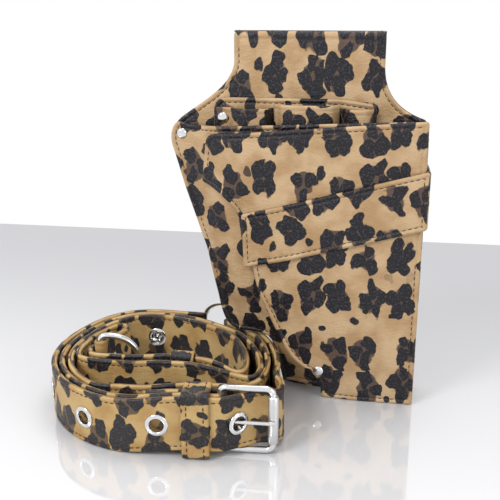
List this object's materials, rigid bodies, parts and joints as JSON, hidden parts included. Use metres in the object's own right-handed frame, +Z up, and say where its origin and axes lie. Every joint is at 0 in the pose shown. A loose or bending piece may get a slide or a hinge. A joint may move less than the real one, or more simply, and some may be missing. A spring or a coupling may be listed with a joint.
{
  "type": "shears holster",
  "caption": "Hairdresser's shears holster: a printed-leather pouch with layered pockets, scissor sleeves and a rear belt loop, beside its coiled, buckled waist belt with D-rings.",
  "frame": {"origin": "middle of the underside of the base gusset that closes the pouch's bottom, which is what the pouch stands on", "axes": "+X to the right as the pockets are seen from the front, +Y to the rear, away from the pockets (the belt loop's side), +Z up"},
  "size_m": [0.2207, 0.1445, 0.22],
  "materials": {
    "print": "leopard-print coated leather, fine pebble grain, satin",
    "belt_print": "yellower leopard-print coated leather, satin",
    "black": "dark lining leather, matt",
    "board": "pressed fibre board, matt, hidden between the leathers",
    "chrome": "polished silvery plating"
  },
  "bodies": {
    "holster": {"back_panel": "print", "back_lining": "black", "stiffener_board": "board", "belt_loop": "print", "sleeve_backing": "print", "shears_sleeve_left": "print", "shears_sleeve_middle": "print", "shears_sleeve_right": "print", "middle_pocket": "print", "front_pocket_upper": "print", "front_pocket_lower": "print", "diagonal_band": "print", "side_gusset": "print", "pocket_gusset": "print", "base_gusset": "print", "shoulder_rivet": "chrome", "shoulder_rivet_washer": "chrome", "sleeve_rivet": "chrome", "sleeve_rivet_washer": "chrome", "base_rivet": "chrome", "base_rivet_washer": "chrome"},
    "belt": {"belt_strap": "belt_print", "eyelet_1": "chrome", "eyelet_2": "chrome", "eyelet_3": "chrome", "eyelet_4": "chrome", "eyelet_5": "chrome", "eyelet_6": "chrome", "stud_eyelet": "chrome", "belt_stud": "chrome", "back_d_ring_tab": "belt_print", "back_d_ring_rivet": "chrome", "inner_d_ring_tab": "belt_print", "inner_d_ring_rivet": "chrome"},
    "buckle_frame": {"buckle_frame": "chrome"},
    "buckle_roller": {"buckle_roller": "chrome"},
    "buckle_prong": {"buckle_prong": "chrome"},
    "keeper": {"keeper_loop": "belt_print"},
    "inner_keeper": {"inner_keeper_loop": "belt_print"},
    "back_d_ring": {"back_d_ring": "chrome"},
    "inner_d_ring": {"inner_d_ring": "chrome"}
  },
  "joints": [
    {"name": "belt_shift", "type": "slide", "parent": "holster", "child": "belt", "axis": [-1, 0, 0], "range_m": [0, 0.1]},
    {"name": "buckle_swing", "type": "hinge", "parent": "belt", "child": "buckle_frame", "pos_m": [-0.0705, -0.0825, 0.0207], "axis": [0, 0, -1], "range_deg": [0, 2.3]},
    {"name": "prong_swing", "type": "hinge", "parent": "buckle_frame", "child": "buckle_prong", "pos_m": [-0.0705, -0.0825, 0.0207], "axis": [0, 0, -1], "range_deg": [0, 1]},
    {"name": "roller_spin", "type": "hinge", "parent": "buckle_frame", "child": "buckle_roller", "pos_m": [-0.04157, -0.08048, 0.0207], "axis": [0, 0, 1], "continuous": true},
    {"name": "keeper_shift", "type": "slide", "parent": "belt", "child": "keeper", "axis": [-0.9976, -0.0698, 0], "range_m": [0, 0.015]},
    {"name": "inner_keeper_shift", "type": "slide", "parent": "belt", "child": "inner_keeper", "axis": [1, 0, 0], "range_m": [-0.008, 0.004]},
    {"name": "back_d_ring_swing", "type": "hinge", "parent": "belt", "child": "back_d_ring", "pos_m": [-0.0852, 0.03973, 0.021], "axis": [0, 0, 1], "range_deg": [-160, 6]},
    {"name": "inner_d_ring_swing", "type": "hinge", "parent": "belt", "child": "inner_d_ring", "pos_m": [-0.15637, -0.02645, 0.021], "axis": [0, 0, 1], "range_deg": [-20, 40]}
  ]
}
